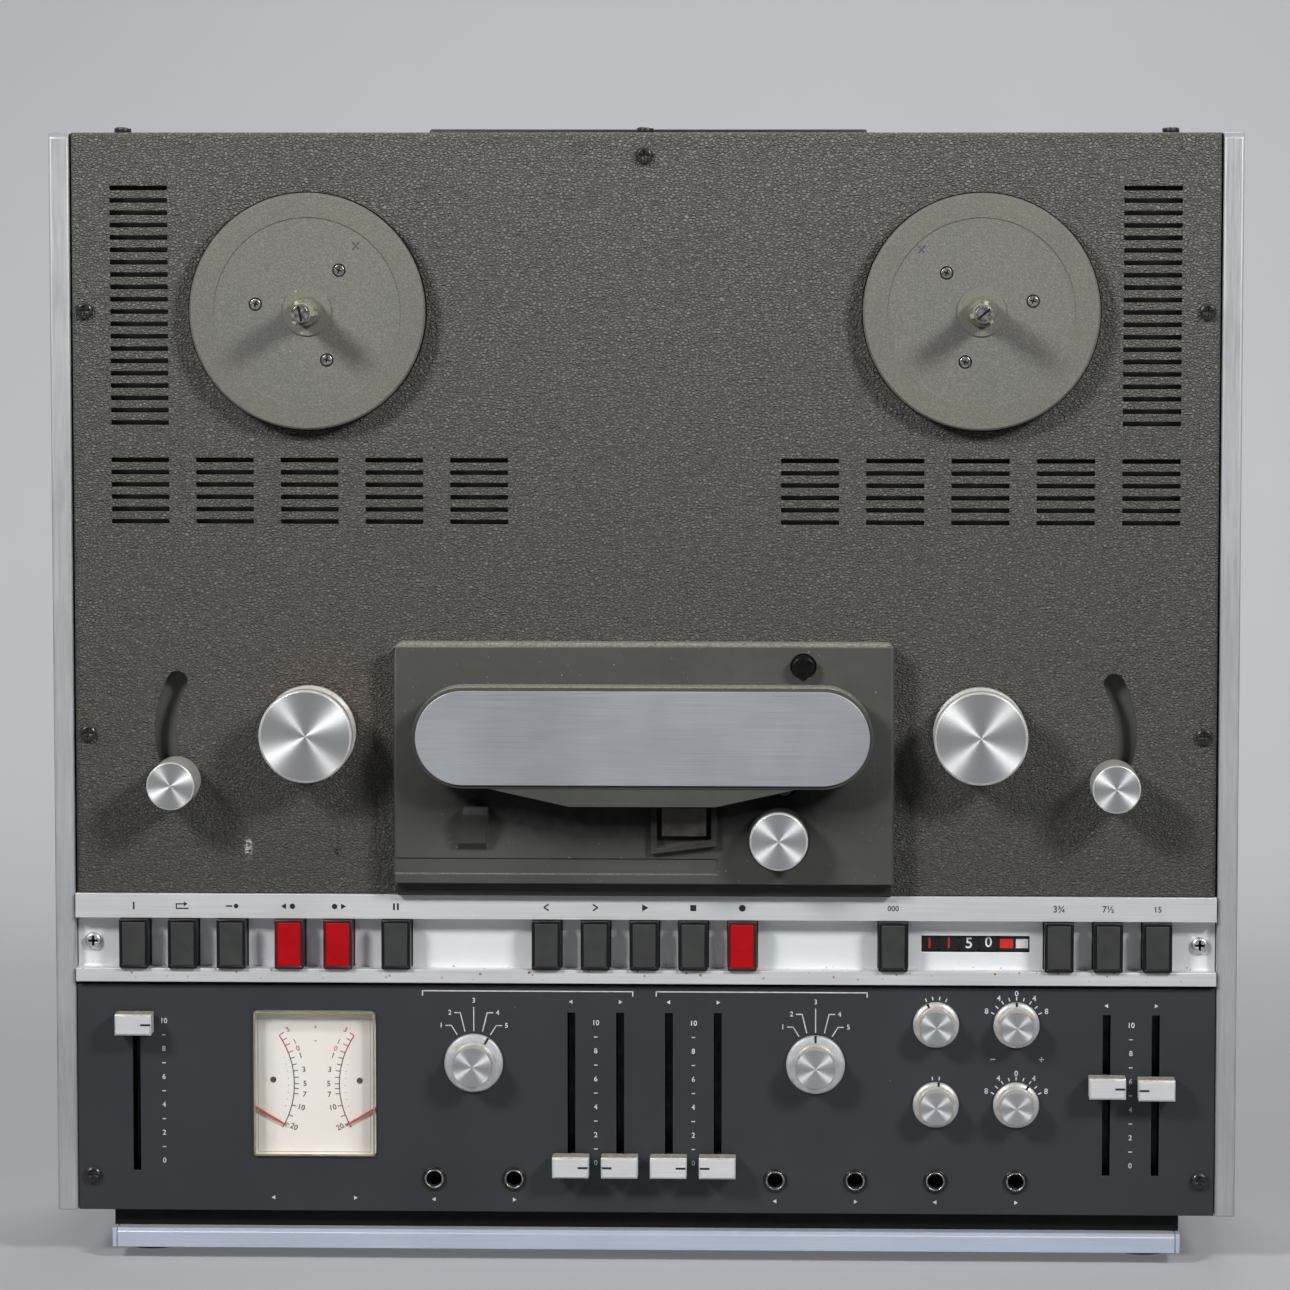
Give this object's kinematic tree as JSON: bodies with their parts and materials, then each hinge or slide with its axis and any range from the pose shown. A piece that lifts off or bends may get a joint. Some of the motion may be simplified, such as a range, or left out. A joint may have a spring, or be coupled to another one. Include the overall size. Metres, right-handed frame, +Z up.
{
  "type": "reel-to-reel tape recorder",
  "caption": "Upright reel-to-reel tape recorder deck with reel tables, tape heads, push keys, faders, knobs, a level meter and a fold-down carrying handle.",
  "frame": {"origin": "on the floor, under the middle of the recorder's box", "axes": "the deck faces -Y, +X is to the viewer's right and +Z is up"},
  "size_m": [0.483, 0.185, 0.4642],
  "materials": {
    "deck_paint": "grained matt",
    "cabinet_paint": "matt",
    "satin_aluminium": "satin",
    "trim_plate": "brushed",
    "chassis_metal": "cast",
    "steel": "plated",
    "polished_steel": "ground and polished",
    "panel_paint": "matt",
    "meter_dial": "matt",
    "clear_plastic": "clear",
    "needle_red": "matt",
    "motor_paint": "matt",
    "electronics": "lacquered boards",
    "socket_black": "moulded",
    "base_black": "matt",
    "handle_black": "moulded",
    "screw_black": "blackened",
    "reel_grey": "satin lacquer",
    "turned_aluminium": "spun",
    "roller_rubber": "matt",
    "cue_black": "moulded",
    "key_black": "moulded",
    "key_red": "moulded",
    "fader_silver": "satin",
    "knob_silver": "spun"
  },
  "bodies": {
    "recorder_body": {"deck_cover": "deck_paint", "head_block": "deck_paint", "head_cover": "deck_paint", "cabinet_shell": "cabinet_paint", "rear_cover": "cabinet_paint", "side_panels": "satin_aluminium", "transport_strip": "satin_aluminium", "base_rail": "satin_aluminium", "head_trim_plate": "trim_plate", "chassis_frame": "chassis_metal", "tape_heads": "polished_steel", "control_panel": "panel_paint", "meter_case": "meter_dial", "meter_window": "clear_plastic", "drive_motors": "motor_paint", "electronics": "electronics", "sockets": "socket_black", "base_plinth": "base_black", "screws": "screw_black"},
    "left_reel_table": {"left_reel_table": "reel_grey"},
    "right_reel_table": {"right_reel_table": "reel_grey"},
    "left_tension_arm": {"left_tension_arm": "turned_aluminium"},
    "right_tension_arm": {"right_tension_arm": "turned_aluminium"},
    "left_guide_roller": {"left_guide_roller": "turned_aluminium"},
    "right_guide_roller": {"right_guide_roller": "turned_aluminium"},
    "capstan": {"capstan": "polished_steel"},
    "pinch_arm": {"pinch_arm": "steel"},
    "pinch_roller": {"pinch_roller": "roller_rubber"},
    "cue_button": {"cue_button": "cue_black"},
    "left_meter_needle": {"left_meter_needle": "needle_red"},
    "right_meter_needle": {"right_meter_needle": "needle_red"},
    "carry_handle": {"carry_handle": "handle_black"},
    "power_button": {"power_button": "key_black"},
    "repeat_button": {"repeat_button": "key_black"},
    "auto_button": {"auto_button": "key_black"},
    "left_record_button": {"left_record_button": "key_red"},
    "right_record_button": {"right_record_button": "key_red"},
    "pause_button": {"pause_button": "key_black"},
    "rewind_button": {"rewind_button": "key_black"},
    "forward_button": {"forward_button": "key_black"},
    "play_button": {"play_button": "key_black"},
    "stop_button": {"stop_button": "key_black"},
    "record_button": {"record_button": "key_red"},
    "counter_reset_button": {"counter_reset_button": "key_black"},
    "low_speed_button": {"low_speed_button": "key_black"},
    "middle_speed_button": {"middle_speed_button": "key_black"},
    "high_speed_button": {"high_speed_button": "key_black"},
    "record_fader": {"record_fader": "fader_silver"},
    "input_1_fader": {"input_1_fader": "fader_silver"},
    "input_2_fader": {"input_2_fader": "fader_silver"},
    "input_3_fader": {"input_3_fader": "fader_silver"},
    "input_4_fader": {"input_4_fader": "fader_silver"},
    "left_volume_fader": {"left_volume_fader": "fader_silver"},
    "right_volume_fader": {"right_volume_fader": "fader_silver"},
    "left_selector": {"left_selector": "knob_silver"},
    "right_selector": {"right_selector": "knob_silver"},
    "mode_knob": {"mode_knob": "knob_silver"},
    "treble_knob": {"treble_knob": "knob_silver"},
    "monitor_knob": {"monitor_knob": "knob_silver"},
    "bass_knob": {"bass_knob": "knob_silver"}
  },
  "joints": [
    {"name": "left_reel_spin", "type": "hinge", "parent": "recorder_body", "child": "left_reel_table", "pos_m": [-0.136, -0.0525, 0.39], "axis": [0, 1, 0], "continuous": true},
    {"name": "left_guide_roller_spin", "type": "hinge", "parent": "recorder_body", "child": "left_guide_roller", "pos_m": [-0.1363, -0.0525, 0.219], "axis": [0, 1, 0], "continuous": true},
    {"name": "left_tension_swing", "type": "hinge", "parent": "recorder_body", "child": "left_tension_arm", "pos_m": [-0.1538, -0.0525, 0.219], "axis": [0, 1, 0], "range_deg": [0, 57], "stiffness_Nm_per_rad": 0.05},
    {"name": "left_needle_swing", "type": "hinge", "parent": "recorder_body", "child": "left_meter_needle", "pos_m": [-0.1799, -0.0525, 0.0733], "axis": [0, -1, 0], "range_deg": [0, 60], "stiffness_Nm_per_rad": 0.0001},
    {"name": "right_reel_spin", "type": "hinge", "parent": "recorder_body", "child": "right_reel_table", "pos_m": [0.136, -0.0525, 0.39], "axis": [0, 1, 0], "continuous": true},
    {"name": "right_guide_roller_spin", "type": "hinge", "parent": "recorder_body", "child": "right_guide_roller", "pos_m": [0.1363, -0.0525, 0.219], "axis": [0, 1, 0], "continuous": true},
    {"name": "right_tension_swing", "type": "hinge", "parent": "recorder_body", "child": "right_tension_arm", "pos_m": [0.1538, -0.0525, 0.219], "axis": [0, -1, 0], "range_deg": [0, 57], "stiffness_Nm_per_rad": 0.05},
    {"name": "right_needle_swing", "type": "hinge", "parent": "recorder_body", "child": "right_meter_needle", "pos_m": [-0.0911, -0.0525, 0.0733], "axis": [0, 1, 0], "range_deg": [0, 60], "stiffness_Nm_per_rad": 0.0001},
    {"name": "capstan_spin", "type": "hinge", "parent": "recorder_body", "child": "capstan", "pos_m": [0.05684, -0.0525, 0.19893], "axis": [0, 1, 0], "continuous": true},
    {"name": "pinch_swing", "type": "hinge", "parent": "recorder_body", "child": "pinch_arm", "pos_m": [0.088, -0.0525, 0.169], "axis": [0, 1, 0], "range_deg": [0, 9.5], "stiffness_Nm_per_rad": 0.2},
    {"name": "pinch_roller_spin", "type": "hinge", "parent": "pinch_arm", "child": "pinch_roller", "pos_m": [0.055, -0.0525, 0.1774], "axis": [0, 1, 0], "continuous": true},
    {"name": "cue_press", "type": "slide", "parent": "recorder_body", "child": "cue_button", "axis": [0, 1, 0], "range_m": [0, 0.003], "stiffness_N_per_m": 500},
    {"name": "power_press", "type": "slide", "parent": "recorder_body", "child": "power_button", "axis": [0, 1, 0], "range_m": [0, 0.0035], "stiffness_N_per_m": 600},
    {"name": "repeat_press", "type": "slide", "parent": "recorder_body", "child": "repeat_button", "axis": [0, 1, 0], "range_m": [0, 0.0035], "stiffness_N_per_m": 600},
    {"name": "auto_press", "type": "slide", "parent": "recorder_body", "child": "auto_button", "axis": [0, 1, 0], "range_m": [0, 0.0035], "stiffness_N_per_m": 600},
    {"name": "left_record_press", "type": "slide", "parent": "recorder_body", "child": "left_record_button", "axis": [0, 1, 0], "range_m": [0, 0.0035], "stiffness_N_per_m": 600},
    {"name": "right_record_press", "type": "slide", "parent": "recorder_body", "child": "right_record_button", "axis": [0, 1, 0], "range_m": [0, 0.0035], "stiffness_N_per_m": 600},
    {"name": "pause_press", "type": "slide", "parent": "recorder_body", "child": "pause_button", "axis": [0, 1, 0], "range_m": [0, 0.0035], "stiffness_N_per_m": 600},
    {"name": "rewind_press", "type": "slide", "parent": "recorder_body", "child": "rewind_button", "axis": [0, 1, 0], "range_m": [0, 0.0035], "stiffness_N_per_m": 600},
    {"name": "forward_press", "type": "slide", "parent": "recorder_body", "child": "forward_button", "axis": [0, 1, 0], "range_m": [0, 0.0035], "stiffness_N_per_m": 600},
    {"name": "play_press", "type": "slide", "parent": "recorder_body", "child": "play_button", "axis": [0, 1, 0], "range_m": [0, 0.0035], "stiffness_N_per_m": 600},
    {"name": "stop_press", "type": "slide", "parent": "recorder_body", "child": "stop_button", "axis": [0, 1, 0], "range_m": [0, 0.0035], "stiffness_N_per_m": 600},
    {"name": "record_press", "type": "slide", "parent": "recorder_body", "child": "record_button", "axis": [0, 1, 0], "range_m": [0, 0.0035], "stiffness_N_per_m": 600},
    {"name": "counter_reset_press", "type": "slide", "parent": "recorder_body", "child": "counter_reset_button", "axis": [0, 1, 0], "range_m": [0, 0.0035], "stiffness_N_per_m": 600},
    {"name": "low_speed_press", "type": "slide", "parent": "recorder_body", "child": "low_speed_button", "axis": [0, 1, 0], "range_m": [0, 0.0035], "stiffness_N_per_m": 600},
    {"name": "middle_speed_press", "type": "slide", "parent": "recorder_body", "child": "middle_speed_button", "axis": [0, 1, 0], "range_m": [0, 0.0035], "stiffness_N_per_m": 600},
    {"name": "high_speed_press", "type": "slide", "parent": "recorder_body", "child": "high_speed_button", "axis": [0, 1, 0], "range_m": [0, 0.0035], "stiffness_N_per_m": 600},
    {"name": "record_slide", "type": "slide", "parent": "recorder_body", "child": "record_fader", "axis": [0, 0, 1], "range_m": [-0.058, 0]},
    {"name": "input_1_slide", "type": "slide", "parent": "recorder_body", "child": "input_1_fader", "axis": [0, 0, 1], "range_m": [0, 0.058]},
    {"name": "input_2_slide", "type": "slide", "parent": "recorder_body", "child": "input_2_fader", "axis": [0, 0, 1], "range_m": [0, 0.058]},
    {"name": "input_3_slide", "type": "slide", "parent": "recorder_body", "child": "input_3_fader", "axis": [0, 0, 1], "range_m": [0, 0.058]},
    {"name": "input_4_slide", "type": "slide", "parent": "recorder_body", "child": "input_4_fader", "axis": [0, 0, 1], "range_m": [0, 0.058]},
    {"name": "left_volume_slide", "type": "slide", "parent": "recorder_body", "child": "left_volume_fader", "axis": [0, 0, 1], "range_m": [-0.03364, 0.02436]},
    {"name": "right_volume_slide", "type": "slide", "parent": "recorder_body", "child": "right_volume_fader", "axis": [0, 0, 1], "range_m": [-0.03306, 0.02494]},
    {"name": "left_selector_turn", "type": "hinge", "parent": "recorder_body", "child": "left_selector", "pos_m": [-0.07, -0.0525, 0.0823], "axis": [0, 1, 0], "range_deg": [-60, 0]},
    {"name": "right_selector_turn", "type": "hinge", "parent": "recorder_body", "child": "right_selector", "pos_m": [0.07, -0.0525, 0.0823], "axis": [0, 1, 0], "range_deg": [-30, 30]},
    {"name": "mode_turn", "type": "hinge", "parent": "recorder_body", "child": "mode_knob", "pos_m": [0.1192, -0.0525, 0.099], "axis": [0, 1, 0], "range_deg": [0, 45]},
    {"name": "treble_turn", "type": "hinge", "parent": "recorder_body", "child": "treble_knob", "pos_m": [0.152, -0.0525, 0.099], "axis": [0, 1, 0], "range_deg": [-64, 64]},
    {"name": "monitor_turn", "type": "hinge", "parent": "recorder_body", "child": "monitor_knob", "pos_m": [0.1192, -0.0525, 0.066], "axis": [0, 1, 0], "range_deg": [-15, 0]},
    {"name": "bass_turn", "type": "hinge", "parent": "recorder_body", "child": "bass_knob", "pos_m": [0.152, -0.0525, 0.066], "axis": [0, 1, 0], "range_deg": [-96, 32]},
    {"name": "handle_lift", "type": "hinge", "parent": "recorder_body", "child": "carry_handle", "pos_m": [0, 0.0235, 0.4585], "axis": [-1, 0, 0], "range_deg": [0, 90]}
  ]
}
